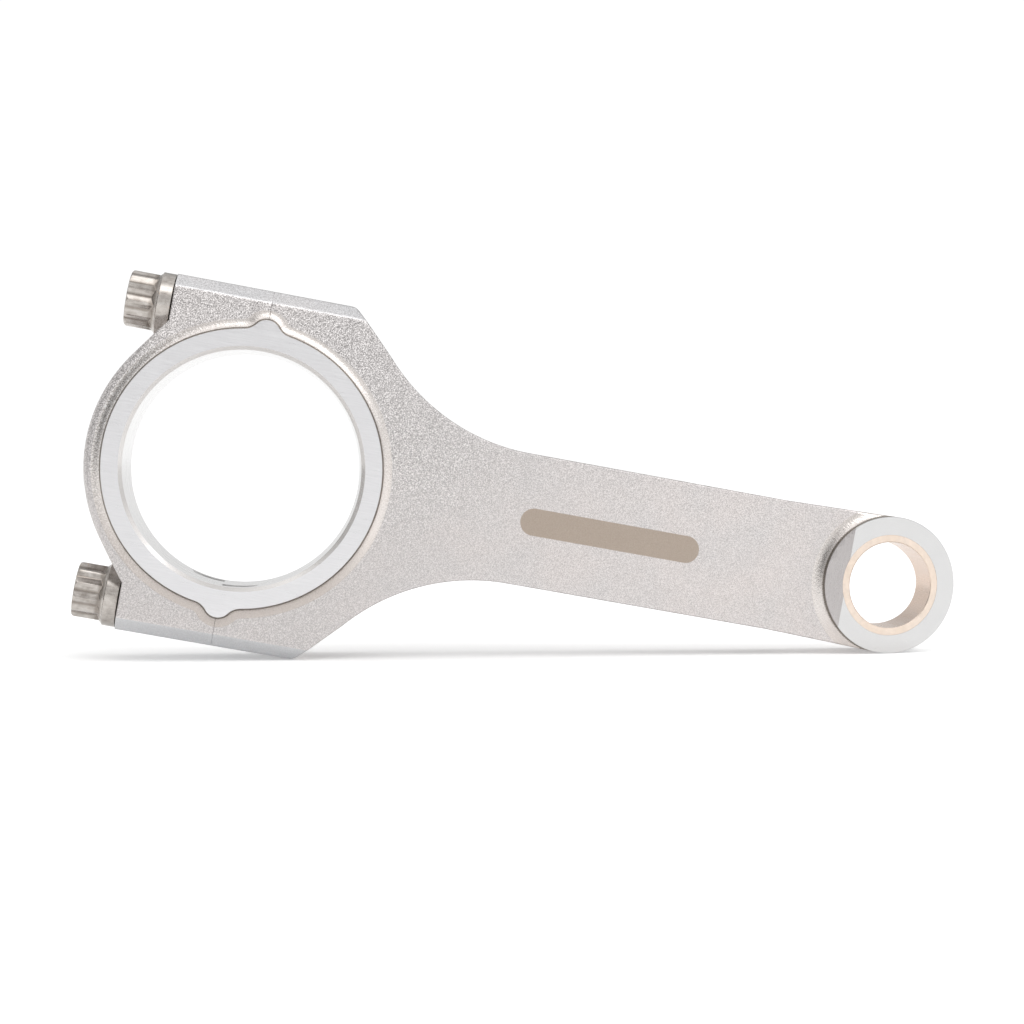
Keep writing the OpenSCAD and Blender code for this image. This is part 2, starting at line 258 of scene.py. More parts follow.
def skin(name, outer, holes, curves, grid, height, slot_front, slot_wall, mats):
    """A plate seen along Y: its face heights over the plane of the rod, mirrored to the back,
    with walls between."""
    coords, edges = [], []
    for pts, closed in [(outer, True)] + [(h, True) for h in holes] + [(c, False) for c in curves]:
        base, n = len(coords), len(pts)
        coords += [Vector((float(x), float(z))) for x, z in pts]
        edges += [(base + i, base + i + 1) for i in range(n - 1)]
        if closed:
            edges.append((base + n - 1, base))
    coords += [Vector((float(x), float(z))) for x, z in grid]
    res = geometry.delaunay_2d_cdt(coords, edges, [], 0, 1e-4)
    pts = np.array([[v.x, v.y] for v in res[0]])
    tris = np.array([f for f in res[2] if len(f) == 3])
    mid = pts[tris].mean(1)
    keep = inside(mid, outer)
    for h in holes:
        keep &= ~inside(mid, h)
    tris, mid = tris[keep], mid[keep]
    a, b, c = pts[tris[:, 0]], pts[tris[:, 1]], pts[tris[:, 2]]
    area = (b - a)[:, 0] * (c - a)[:, 1] - (b - a)[:, 1] * (c - a)[:, 0]
    tris[area < 0] = tris[area < 0][:, ::-1]
    used, tris = np.unique(tris, return_inverse=True)
    tris = tris.reshape(-1, 3)
    pts = pts[used]
    n = len(pts)
    y = -height(pts)
    verts = np.concatenate([np.c_[pts[:, 0], y, pts[:, 1]], np.c_[pts[:, 0], -y, pts[:, 1]]]) * MM
    count = {}
    for t in tris:
        for i in range(3):
            count[(t[i], t[(i + 1) % 3])] = 1
    rim = [e for e in count if (e[1], e[0]) not in count]
    faces = [tuple(t) for t in tris] + [(t[2] + n, t[1] + n, t[0] + n) for t in tris]
    faces += [(b, a, a + n, b + n) for a, b in rim]
    front = slot_front(mid)
    ends = np.array([(pts[a] + pts[b]) / 2 for a, b in rim])
    slots = np.concatenate([front, front, slot_wall(ends)])
    return new_object(name, verts, faces, mats, slots)


def lathe(name, profile, mats, slot=0, turns=96, origin=(0, 0, 0), axis=(1, 0, 0), slots=None, shape=None):
    """A solid of revolution. The profile runs along the axis as (along, radius), from one end to the other,
    or round to its start again for a tube."""
    prof = np.array(profile, float)
    t = np.linspace(0, 2 * math.pi, turns, endpoint=False)
    ax = Vector(axis).normalized()
    side = ax.orthogonal().normalized() if abs(ax.y) > 0.9 else Vector((0, 1, 0))
    up = ax.cross(side)
    verts, faces, fs = [], [], []
    for s, r in prof:
        rr = np.full(turns, r) if shape is None else shape(s, r, t)
        for k in range(turns):
            p = Vector(origin) + ax * s + (side * math.cos(t[k]) + up * math.sin(t[k])) * float(rr[k])
            verts.append(p * MM)
    for i in range(len(prof) - 1):
        for k in range(turns):
            j = (k + 1) % turns
            faces.append((i * turns + k, i * turns + j, (i + 1) * turns + j, (i + 1) * turns + k))
            fs.append(slots[i] if slots else slot)
    if prof[0][1] != prof[-1][1] or prof[0][0] != prof[-1][0]:
        faces.append(tuple(range(turns))[::-1])
        faces.append(tuple((len(prof) - 1) * turns + k for k in range(turns)))
        fs += [fs[0], fs[-1]]
    else:
        # a closed profile, such as a tube's: the last ring is the first one again
        last = (len(prof) - 1) * turns
        faces = [tuple(v - last if v >= last else v for v in f) for f in faces]
        verts = verts[:last]
    return new_object(name, verts, faces, mats, fs)


def carve(ob, *cutters):
    """Takes the cutters out of a piece for good."""
    for c in cutters:
        mod = ob.modifiers.new("cut", "BOOLEAN")
        mod.operation = "DIFFERENCE"
        mod.solver = "EXACT"
        mod.material_mode = "TRANSFER"
        mod.object = c
    dg = bpy.context.evaluated_depsgraph_get()
    dg.update()
    me = bpy.data.meshes.new_from_object(ob.evaluated_get(dg))
    old = ob.data
    ob.modifiers.clear()
    ob.data = me
    me.name = ob.name
    bpy.data.meshes.remove(old)
    for c in cutters:
        bpy.data.objects.remove(c)


# ---------------------------------------------------------------- materials
def nodes_of(name, color, rough, metal=1.0):
    m = bpy.data.materials.new(name)
    m.use_nodes = True
    nt = m.node_tree
    bsdf = nt.nodes["Principled BSDF"]
    bsdf.inputs["Base Color"].default_value = (*color, 1)
    bsdf.inputs["Roughness"].default_value = rough
    bsdf.inputs["Metallic"].default_value = metal
    return m, nt, bsdf


def coords(nt, scale=(1000, 1000, 1000), turn=(0, 0, 0)):
    """Texture coordinates in millimetres."""
    tc = nt.nodes.new("ShaderNodeTexCoord")
    mp = nt.nodes.new("ShaderNodeMapping")
    mp.inputs["Scale"].default_value = scale
    mp.inputs["Rotation"].default_value = turn
    nt.links.new(tc.outputs["Object"], mp.inputs["Vector"])
    return mp.outputs["Vector"]


def noise(nt, vec, scale, detail=2.0, rough=0.5):
    n = nt.nodes.new("ShaderNodeTexNoise")
    n.inputs["Scale"].default_value = scale
    n.inputs["Detail"].default_value = detail
    n.inputs["Roughness"].default_value = rough
    nt.links.new(vec, n.inputs["Vector"])
    return n.outputs["Fac"]


def cells(nt, vec, scale):
    n = nt.nodes.new("ShaderNodeTexVoronoi")
    n.feature = "SMOOTH_F1"
    n.inputs["Scale"].default_value = scale
    nt.links.new(vec, n.inputs["Vector"])
    return n.outputs["Distance"]


def ramp(nt, fac, stops):
    n = nt.nodes.new("ShaderNodeValToRGB")
    el = n.color_ramp.elements
    el[0].position, el[1].position = stops[0][0], stops[-1][0]
    el[0].color, el[1].color = (*stops[0][1], 1), (*stops[-1][1], 1)
    for pos, col in stops[1:-1]:
        e = el.new(pos)
        e.color = (*col, 1)
    nt.links.new(fac, n.inputs["Fac"])
    return n.outputs["Color"]


def math_node(nt, op, a, b=0, clamp=False):
    n = nt.nodes.new("ShaderNodeMath")
    n.operation = op
    n.use_clamp = clamp
    for i, v in enumerate((a, b)):
        if isinstance(v, (int, float)):
            n.inputs[i].default_value = v
        else:
            nt.links.new(v, n.inputs[i])
    return n.outputs[0]


def times(nt, a, b):
    return math_node(nt, "MULTIPLY", a, b)


def length(nt, a, b):
    """Length of the diagonal of a by b."""
    return math_node(nt, "SQRT", math_node(nt, "ADD", times(nt, a, a), times(nt, b, b)))


def split(nt, vec):
    n = nt.nodes.new("ShaderNodeSeparateXYZ")
    nt.links.new(vec, n.inputs[0])
    return n.outputs


def tint(color, k):
    return tuple(min(1.0, c * k) for c in color)


def remap(nt, fac, lo, hi, a=0.0, b=1.0):
    n = nt.nodes.new("ShaderNodeMapRange")
    n.inputs["From Min"].default_value = lo
    n.inputs["From Max"].default_value = hi
    n.inputs["To Min"].default_value = a
    n.inputs["To Max"].default_value = b
    nt.links.new(fac, n.inputs["Value"])
    return n.outputs[0]


def mix(nt, fac, a, b):
    n = nt.nodes.new("ShaderNodeMix")
    n.data_type = "RGBA"
    nt.links.new(fac, n.inputs["Factor"])
    for name, v in (("A", a), ("B", b)):
        sock = [s for s in n.inputs if s.name == name and s.type == "RGBA"][0]
        if isinstance(v, tuple):
            sock.default_value = (*v, 1)
        else:
            nt.links.new(v, sock)
    return [s for s in n.outputs if s.type == "RGBA"][0]


def bump(nt, bsdf, height, strength, distance):
    n = nt.nodes.new("ShaderNodeBump")
    n.inputs["Strength"].default_value = strength
    n.inputs["Distance"].default_value = distance
    nt.links.new(height, n.inputs["Height"])
    nt.links.new(n.outputs[0], bsdf.inputs["Normal"])


def peened(name, color, part=None, grain=3.7, depth=0.00008, painted_sparkle=1.0, rough=0.3):
    """Shot-peened forged steel: close dimples and a faint warm mottle, with painted sparkle: bright specks
    in the colour as painted glints where dimples would catch the light, and dark ones as painted shade. The
    painted sparkle is coarser on the faces round the upper side of the big end, and in the hollows over the
    top of the cap.
    The edges and hollows are smoother along the lower side, and darker there as painted shade where they
    face down."""
    m, nt, bsdf = nodes_of(name, color, rough)
    plain = coords(nt)
    skew = coords(nt, turn=(0.5, 0.65, 0.3))
    dimple = cells(nt, skew, grain * 0.8)
    fine = noise(nt, skew, grain * 2.1, 2.0, 0.6)
    both = math_node(nt, "ADD", dimple, times(nt, fine, 0.8))
    mottle = noise(nt, plain, 0.09, 3.0)
    speck = noise(nt, skew, grain * 1.15, 1.5, 0.6)
    warm = tuple(c * k for c, k in zip(color, (1.03, 1.0, 0.985)))
    col = ramp(nt, mottle, [(0.3, tint(color, 0.96)), (0.7, warm)])
    # painted sparkle: bright specks become painted glints, dark specks painted shade in the dimples
    light = remap(nt, speck, 0.52, 0.6, 0.0, 0.95 * painted_sparkle)
    dark = remap(nt, speck, 0.48, 0.39, 0.0, 0.95 * painted_sparkle)
    x, _, z = split(nt, plain)
    coarse = None
    if part == "foot":
        coarse = times(nt, remap(nt, x, -27.0, -12.0, 1.0, 0.25), remap(nt, z, -8.0, 8.0, 0.35, 1.0))
        # painted shade: the hollow turns darker and browner towards the bottom, where it faces down
        col = mix(nt, remap(nt, z, -22.0, -8.0, 1.0, 0.0), col, (0.5, 0.455, 0.425))
    if part == "edge":
        coarse = remap(nt, z, -8.0, 8.0, 0.3, 1.0)
        # painted shade: the edges turn darker towards the bottom, where the chamfer band faces down
        col = mix(nt, remap(nt, z, -30.0, -8.0, 1.0, 0.0), col, tint(color, 0.92))
    if part == "face":
        along = remap(nt, x, 18.0, 62.0, 1.0, 0.42)
        across = remap(nt, z, -14.0, 10.0, 0.4, 1.0)
        coarse = math_node(nt, "MAXIMUM", times(nt, along, across), 0.34)
        # painted shade: darker towards the big end and away from the upper shoulder, so brightest round the
        # upper shoulder and at the small end
        off = length(nt, math_node(nt, "SUBTRACT", x, 36.0), math_node(nt, "SUBTRACT", z, 27.0))
        dim = remap(nt, x, 20.0, 95.0, 0.55, 0.0)
        dim = math_node(nt, "ADD", dim, remap(nt, off, 8.0, 34.0, 0.8, 0.0), clamp=True)
        col = mix(nt, dim, col, tint(color, 0.86))
    if coarse is not None:
        light, dark = times(nt, light, coarse), times(nt, dark, coarse)
    col = mix(nt, light, col, tint(color, 1.6))
    col = mix(nt, dark, col, tint(color, 0.45))
    gloss = remap(nt, fine, 0.3, 0.7, rough - 0.06, rough + 0.1)
    if part == "face":
        field = etched_field(nt, plain)
        col = mix(nt, times(nt, field, 0.88), col, (0.385, 0.315, 0.255))
        gloss = math_node(nt, "ADD", gloss, times(nt, field, 0.1))
    nt.links.new(col, bsdf.inputs["Base Color"])
    nt.links.new(gloss, bsdf.inputs["Roughness"])
    bump(nt, bsdf, both, 1.0, depth)
    return m


def etched_field(nt, vec):
    """A plain round-ended bar etched on the front face of the beam, in place of any marking."""
    x, y, z = split(nt, vec)
    past = math_node(nt, "ABSOLUTE", math_node(nt, "SUBTRACT", x, MARK_X))
    past = math_node(nt, "MAXIMUM", math_node(nt, "SUBTRACT", past, MARK_HALF), 0.0)
    away = length(nt, past, math_node(nt, "SUBTRACT", z, MARK_Z))
    bar = remap(nt, away, MARK_R - 0.1, MARK_R, 1.0, 0.0)
    return times(nt, bar, remap(nt, y, -5.0, -4.0, 1.0, 0.0))


def ground(name, color, rough=0.3, along="x", depth=0.00001, streak=0.12):
    """Ground or brushed steel: long fine scratches one way, with soft changes of gloss."""
    m, nt, bsdf = nodes_of(name, color, rough)
    scale = {"x": (110, 1000, 2300), "z": (2300, 1000, 110), "y": (30, 2200, 30)}[along]
    lines = noise(nt, coords(nt, scale), 2.2, 3.0, 0.65)
    broad = noise(nt, coords(nt), 0.16, 2.0)
    col = ramp(nt, lines, [(0.25, tint(color, 1 - streak)), (0.75, tint(color, 1 + streak))])
    col = mix(nt, remap(nt, broad, 0.35, 0.7, 0.0, 0.3), col, tint(color, 0.93))
    nt.links.new(col, bsdf.inputs["Base Color"])
    nt.links.new(remap(nt, lines, 0.2, 0.8, rough - 0.06, rough + 0.1), bsdf.inputs["Roughness"])
    bump(nt, bsdf, lines, 0.6, depth)
    return m


def bolt_place(nt, vec):
    """Where a point of a bolt is: along the rod, and its distance from the axis of its bolt."""
    x, y, z = split(nt, vec)
    side = math_node(nt, "SUBTRACT", math_node(nt, "ABSOLUTE", z), BOLT_Z)
    return x, length(nt, y, side)


def bolt_steel(name):
    """Heat-treated bolt steel: warm grey, a little oily, with drawn streaks, painted shade in the valleys of
    the head and round its base above the flange, and specks of rust, more of them at the rim of the flange."""
    m, nt, bsdf = nodes_of(name, (0.42, 0.38, 0.345), 0.3)
    plain = coords(nt)
    drawn = noise(nt, coords(nt, (120, 1000, 1000)), 2.4, 3.0, 0.6)
    cloud = noise(nt, plain, 0.45, 3.0, 0.6)
    col = ramp(nt, cloud, [(0.3, (0.30, 0.27, 0.245)), (0.52, (0.455, 0.42, 0.388)),
                           (0.75, (0.60, 0.575, 0.55))])
    col = mix(nt, remap(nt, drawn, 0.4, 0.62, 0.0, 0.35), col, (0.62, 0.59, 0.56))
    x, off = bolt_place(nt, plain)
    flange_top = SEAT_X - FLANGE_T
    # painted shade: the valleys between the head's points and the base of the head are darkened
    valley_shade = times(nt, remap(nt, off, HEAD_R - 1.4, HEAD_R - 0.9, 0.0, 1.0),
                   remap(nt, off, HEAD_R - 0.62, HEAD_R - 0.46, 1.0, 0.0))
    valley_shade = times(nt, valley_shade, remap(nt, x, flange_top - 0.2, flange_top, 0.75, 0.0))
    neck_shade = times(nt, remap(nt, x, flange_top - 1.9, flange_top - 1.3, 0.0, 1.0),
                 remap(nt, x, flange_top - 0.6, flange_top - 0.2, 0.62, 0.0))
    col = mix(nt, math_node(nt, "MAXIMUM", valley_shade, neck_shade), col, (0.19, 0.16, 0.135))
    rim = remap(nt, x, SEAT_X - 1.3, SEAT_X - 0.5, 0.0, 0.07)
    rust = math_node(nt, "ADD", noise(nt, plain, 0.9, 4.0, 0.7), rim)
    col = mix(nt, remap(nt, rust, 0.66, 0.72, 0.0, 0.75), col, (0.42, 0.22, 0.09))
    nt.links.new(col, bsdf.inputs["Base Color"])
    nt.links.new(remap(nt, cloud, 0.3, 0.7, 0.15, 0.26), bsdf.inputs["Roughness"])
    bump(nt, bsdf, drawn, 0.5, 0.00002)
    return m


def bronze(name, color, rough, along="y"):
    """Bored bronze with fine turning lines."""
    m, nt, bsdf = nodes_of(name, color, rough)
    vec = coords(nt, (900, 60, 900) if along == "y" else (600, 1000, 600))
    lines = noise(nt, vec, 1.6, 3.0, 0.6)
    cloud = noise(nt, coords(nt), 0.3, 2.0)
    worn = (color[0] * 0.95, color[1] * 0.9, color[2] * 0.84)
    col = ramp(nt, lines, [(0.3, tint(color, 0.9)), (0.7, tint(color, 1.06))])
    col = mix(nt, remap(nt, cloud, 0.35, 0.7, 0.0, 0.35), col, worn)
    nt.links.new(col, bsdf.inputs["Base Color"])
    nt.links.new(remap(nt, lines, 0.2, 0.8, rough - 0.05, rough + 0.08), bsdf.inputs["Roughness"])
    bump(nt, bsdf, lines, 0.5, 0.00001)
    return m


PEENED = peened("peened_steel", (0.63, 0.603, 0.596), "face", painted_sparkle=0.88)
SMOOTH = peened("peened_edge", (0.6, 0.6, 0.61), "edge", grain=3.4, depth=0.00003, painted_sparkle=0.35)
# the hollows: a smoother finish, with a colour lighter than the faces as a painted highlight
FOOT = peened("peened_foot", (0.69, 0.655, 0.63), "foot", grain=3.3, depth=0.00004, painted_sparkle=0.75,
              rough=0.22)
# painted shade: near-black peened steel for the corner of each hollow and the walls of the oil holes
RECESS_SHADE = peened("recess_shade", (0.27, 0.25, 0.225), grain=3.6, depth=0.00003, painted_sparkle=0.5, rough=0.35)
BORE_MOUTH = ground("bore_mouth", (0.66, 0.64, 0.625), 0.14, "y", streak=0.04)
RING_FACE = ground("ground_face", (0.715, 0.71, 0.72), 0.3, "x", streak=0.07)
BORE_WALL = ground("honed_bore", (0.74, 0.735, 0.73), 0.25, "y", streak=0.05)
EYE_FACE = ground("milled_taper", (0.63, 0.627, 0.625), 0.2, "x", streak=0.05)
BOSS_FACE = ground("milled_boss", (0.48, 0.455, 0.45), 0.26, "z", streak=0.08)
STEEL = [PEENED, SMOOTH, RING_FACE, BORE_WALL, EYE_FACE, FOOT, BOSS_FACE, RECESS_SHADE, BORE_MOUTH]
P_PEEN, P_EDGE, P_RING, P_BORE, P_EYE, P_FOOT, P_BOSS, P_RECESS_SHADE, P_MOUTH = range(len(STEEL))
BOLT_MAT = bolt_steel("bolt_steel")
# painted shade: near black for the groove under each bolt's flange
SEAT_GAP_SHADE = ground("seat_gap_shade", (0.045, 0.04, 0.035), 0.5, "y")
BUSH_FACE = bronze("bush_face", (0.80, 0.69, 0.60), 0.4, "x")
BUSH_WALL = bronze("bush_wall", (0.60, 0.46, 0.37), 0.24, "y")
SLEEVE_MAT = ground("sleeve_steel", (0.5, 0.5, 0.51), 0.25, "z")


# ---------------------------------------------------------------- the forged rod
def rod_outline():
    """Upper half of the rod's outline, from the end of the small end to the parting face."""
    eye = arc(L, 0, EYE_R, 0, 91.6, 0.5)
    beam = line(tuple(eye[-1]), (BEAM_END, BEAM + 0.02), 3.0)
    flat = line((BEAM_END, BEAM + 0.02), (SWEEP_X, BEAM), 3.0)
    across = math.sqrt(SWEEP_R ** 2 - (BEAM + SWEEP_R - TAN_Z) ** 2)
    a1 = math.degrees(math.atan2(TAN_Z - BEAM - SWEEP_R, -across))
    sweep = arc(SWEEP_X, BEAM + SWEEP_R, SWEEP_R, -90, a1, 0.9)
    corner = arc(CORNER_X - 1.04, SIDE - CORNER_R, CORNER_R, 45, 90, 0.35)
    shoulder = line(tuple(sweep[-1]), tuple(corner[0]), 2.0)
    side = line(tuple(corner[-1]), (0.0, SIDE), 2.0)
    return join(eye, beam, flat, sweep, shoulder, corner, side)


def big_end_slots(p):
    """Finish of each part of the big end's face."""
    ring = ring_dist(p)
    s = np.full(len(p), P_PEEN)
    s[(np.abs(p[:, 1]) > SIDE - BAND + 0.02) & (p[:, 0] < SIDE_END + 2)] = P_EDGE
    s[(ring < FOOT_W) & (np.abs(p[:, 1]) < SIDE - BAND)] = P_FOOT
    # painted shade along the corner of the hollow round the ring
    s[ring < SHADE_LINE_W] = P_RECESS_SHADE
    s[ring < 0] = P_RING
    s[np.hypot(p[:, 0], p[:, 1]) < BORE_R + MOUTH] = P_MOUTH
    return s


def big_end_walls(p):
    """Finish of the bore, the parting face and the flat sides."""
    s = np.full(len(p), P_PEEN)
    s[np.hypot(p[:, 0], p[:, 1]) < BORE_R + 0.1] = P_BORE
    s[np.abs(p[:, 0]) < 0.01] = P_RING
    s[np.abs(p[:, 1]) > SIDE - 0.4] = P_EDGE
    return s


def build_rod():
    """The forging: half of the big end, the beam and the small end."""
    top = rod_outline()
    bore = arc(0, 0, BORE_R, 90, -90, 0.7)
    outer = join(top, line((0.0, SIDE), (0.0, BORE_R), 1.0), bore, line((0.0, -BORE_R), (0.0, -SIDE), 1.0),
                 flip(top)[:-1])
    hole = arc(L, 0, BUSH_R, 0, 360, 0.5)[:-1]
    edge = join(flip(top), top)

    def height(p):
        x, z = p[:, 0], p[:, 1]
        h = face_at(x)
        ring = ring_dist(p)
        h = np.maximum(h, hollow(ring, BIG_HALF, FACE))
        eye_d = np.hypot(x - L, z) - EYE_R
        boss = hollow(eye_d, taper_at(x), face_at(x), EYE_FOOT_W)
        boss = np.where(eye_d < TINY, taper_at(x) - round_over(-eye_d, 0.15), boss)
        h = np.where(eye_d < TINY, boss, np.maximum(h, np.where(x < L, boss, -1)))
        h = soft_min(h, FACE - (np.abs(z) - (SIDE - BAND)), CREASE[-1])
        r = np.hypot(x, z)
        h = np.minimum(h, np.where(r < BORE_R + MOUTH, BIG_HALF - (BORE_R + MOUTH - r), 99))
        away = np.clip((eye_d - 0.2) / 1.5, 0, 1)
        drop = round_over(seg_dist(p, edge), np.where(x < CORNER_X, FLAT_EDGE_R, EDGE_R))
        h = h - drop * np.where(x < L, away, 0)
        return h - round_over(np.abs(x), PART_R) * (ring > 0)

    curves = [half_ring(d) for d in foot_steps(FOOT_W)]
    curves += [arc(0, 0, BORE_R + MOUTH, -90, 90, 0.7)]
    for s in (-1, 1):
        for dz in CREASE:
            crease = s * (SIDE - BAND + dz)
            curves.append(line((0, crease), (SIDE_END, crease), 2.0))
    for d in foot_steps(EYE_FOOT_W):
        a0, a1 = (0, 360) if d <= 0 else (88, 272)
        curves.append(arc(L, 0, EYE_R + d, a0, a1, 0.5))
    curves.append(line((L - TAPER_X, -14.5), (L - TAPER_X, 14.5), 1.0))
    normal = np.gradient(top, axis=0)
    normal = np.c_[normal[:, 1], -normal[:, 0]] / np.hypot(*normal.T)[:, None]
    for d in (*EDGE_ROWS, EDGE_R):
        inner = top - normal * d
        inner = inner[(np.hypot(inner[:, 0] - L, inner[:, 1]) > EYE_R + 0.4) & (inner[:, 0] < L)]
        curves += [inner, inner * [1, -1]]
    for d in (0.04, PART_R):
        for s in (-1, 1):
            curves.append(line((d, s * (LOBE_TIP + 0.3)), (d, s * SIDE), 1.0))
    pitch = 2.6
    gx, gz = np.meshgrid(np.arange(29.5, L - 12, pitch), np.arange(-27, 28, pitch))
    gx = gx + (np.arange(gx.shape[0]) % 2)[:, None] * (pitch / 2)
    grid = np.c_[gx.ravel(), gz.ravel()]
    clear = np.min([seg_dist(grid, c) for c in curves + [edge]], axis=0)
    grid = grid[(clear > 1.0) & inside(grid, outer)]

    def front(p):
        s = big_end_slots(p)
        eye_r = np.hypot(p[:, 0] - L, p[:, 1])
        s[eye_r < EYE_R + EYE_FOOT_W] = P_FOOT
        # painted shade along the corner of the hollow round the small-end boss
        s[(eye_r < EYE_R + SHADE_LINE_W) & (p[:, 0] < L)] = P_RECESS_SHADE
        s[eye_r < EYE_R] = P_EYE
        s[(eye_r < EYE_R) & (p[:, 0] < L - TAPER_X)] = P_BOSS
        return s

    def wall(p):
        s = big_end_walls(p)
        eye_r = np.hypot(p[:, 0] - L, p[:, 1])
        s[eye_r < BUSH_R + 0.1] = P_BORE
        s[(eye_r > BUSH_R + 1) & (p[:, 0] > L)] = P_EYE
        return s

    ob = skin("rod_forging", outer, [hole], curves, grid, height, front, wall, STEEL)
    carve(ob, channel_cutter(1), channel_cutter(-1))
    carve(ob, *[bolt_hole(s) for s in (-1, 1)], shell_notch("rod_notch", -NOTCH_Y))
    carve(ob, *[oil_hole(s, "rod") for s in (-1, 1)])
    finish_mesh(ob, facet=L - TAPER_X)
    return ob


def shoulder_z(x):
    """Height of the rod's upper outline."""
    x = np.asarray(x, float)
    sweep = BEAM + SWEEP_R - np.sqrt(np.maximum(SWEEP_R ** 2 - (x - SWEEP_X) ** 2, 0))
    z = np.where(x < SWEEP_X, sweep, BEAM)
    z = np.where(x < TAN_X, TAN_Z + TAN_X - x, z)
    return np.where(x > BEAM_END, BEAM + (x - BEAM_END) * 0.03, z)


def channel_cutter(s):
    """The milled channel on one edge of the beam: a round-cornered floor that sweeps out at both ends, and
    softened lips."""
    big_x, small_x = CHAN_START + CHAN_BIG_R, CHAN_END - CHAN_SMALL_R
    t0 = np.radians(np.linspace(90, 0, 22))
    t1 = np.radians(np.linspace(0, 90, 16))
    xs = np.concatenate([big_x - CHAN_BIG_R * np.sin(t0), np.linspace(big_x, small_x, 24)[1:-1],
                         small_x + CHAN_SMALL_R * np.sin(t1)])
    zs = np.concatenate([WEB + CHAN_BIG_R * (1 - np.cos(t0)), np.full(22, WEB),
                         WEB + CHAN_SMALL_R * (1 - np.cos(t1))])
    along = np.clip((xs - CHAN_START) / (CHAN_END - CHAN_START), 0, 1)
    half = CHAN_BIG + (CHAN_SMALL - CHAN_BIG) * along
    past = np.clip(xs - (CHAN_END - CHAN_SMALL), 0, CHAN_SMALL)
    half = half * np.sqrt(np.maximum(1 - (past / CHAN_SMALL) ** 2, 0.0009))
    start = np.clip(CHAN_START + CHAN_NOSE_R - xs, 0, CHAN_NOSE_R)
    half = half - (CHAN_NOSE_R - np.sqrt(CHAN_NOSE_R ** 2 - start ** 2))
    turns = np.radians(np.linspace(90, 0, 8))
    lip = [(0.0, -0.55), (0.05, -0.32), (0.17, -0.14), (0.40, 0.0), (1.0, 0.5), (1.0, 12.0)]
    cols = []
    n = len(xs)
    for i in range(n):
        w, r = half[i], min(CHAN_FLOOR_R, half[i] * 0.98)
        row = [(-w + r * (1 - math.sin(a)), zs[i] + r * (1 - math.cos(a))) for a in turns]
        row += [(-y, z) for y, z in reversed(row)]
        top = float(shoulder_z(xs[i]))
        low = zs[i] + r
        walls = [(w + o, max(top + dz, low + TINY * (k + 1))) for k, (o, dz) in enumerate(lip)]
        cols.append([(-y, z) for y, z in reversed(walls)] + row + walls)
    m = len(cols[0])
    verts = [(xs[i] * MM, y * MM, s * z * MM) for i in range(n) for y, z in cols[i]]
    faces = []
    for i in range(n - 1):
        for j in range(m - 1):
            a = i * m + j
            faces.append((a, a + 1, a + m + 1, a + m))
        faces.append((i * m + m - 1, i * m, (i + 1) * m, (i + 1) * m + m - 1))
    faces.append(tuple(range(m))[::-1])
    faces.append(tuple((n - 1) * m + j for j in range(m)))
    if s < 0:
        faces = [f[::-1] for f in faces]
    return new_object("channel_cut", verts, faces, STEEL, [P_PEEN] * len(faces))


def bolt_hole(s):
    """Threaded hole of the rod with its seat for the dowel sleeve."""
    profile = [(-2.0, SLEEVE_R + 0.25), (0.0, SLEEVE_R + 0.25), (0.25, SLEEVE_R), (SLEEVE_HALF, SLEEVE_R),
               (SLEEVE_HALF, HOLE_R), (45.0, HOLE_R)]
    return lathe("hole_cut", profile, STEEL, P_BORE, 96, (0, 0, s * BOLT_Z))


def cap_hole(s):
    """Bolt hole of the cap, its dowel seat and the pocket for the bolt's flange."""
    profile = [(-60.0, SEAT_R), (SEAT_X - 0.4, SEAT_R), (SEAT_X, SEAT_R - 0.4), (SEAT_X, HOLE_R + 0.35),
               (SEAT_X + 0.35, HOLE_R), (-SLEEVE_HALF - 0.2, HOLE_R),
               (-SLEEVE_HALF - 0.2, SLEEVE_R + SLEEVE_GAP), (-0.25, SLEEVE_R + SLEEVE_GAP),
               (0.0, SLEEVE_R + 0.25 + SLEEVE_GAP), (2.0, SLEEVE_R + 0.25 + SLEEVE_GAP)]
    return lathe("hole_cut", profile, STEEL, P_EDGE, 96, (0, 0, s * BOLT_Z))


def shell_notch(name, y):
    """Round cutter that leaves the notch for a bearing shell's tang."""
    r, w = 12.0, 2.5
    profile = [(y - w, r - 0.15), (y - w + 0.15, r), (y + w - 0.15, r), (y + w, r - 0.15)]
    return lathe(name, profile, STEEL, P_BORE, 120, (0, 0, -(BORE_R + 1.5 - r)), (0, 1, 0))


def oil_hole(s, who):
    """Slanted oil hole from the flank of the beam into the bush."""
    axis = (-math.sin(math.radians(45)), 0, s * math.cos(math.radians(45)))
    profile = [(PIN_R - 3, OIL_R), (PIN_R + 16, OIL_R)]
    # the hole's walls take the near-black painted shade
    return lathe(who + "_oil", profile, STEEL, P_RECESS_SHADE, 32, (L, 0, 0), axis)


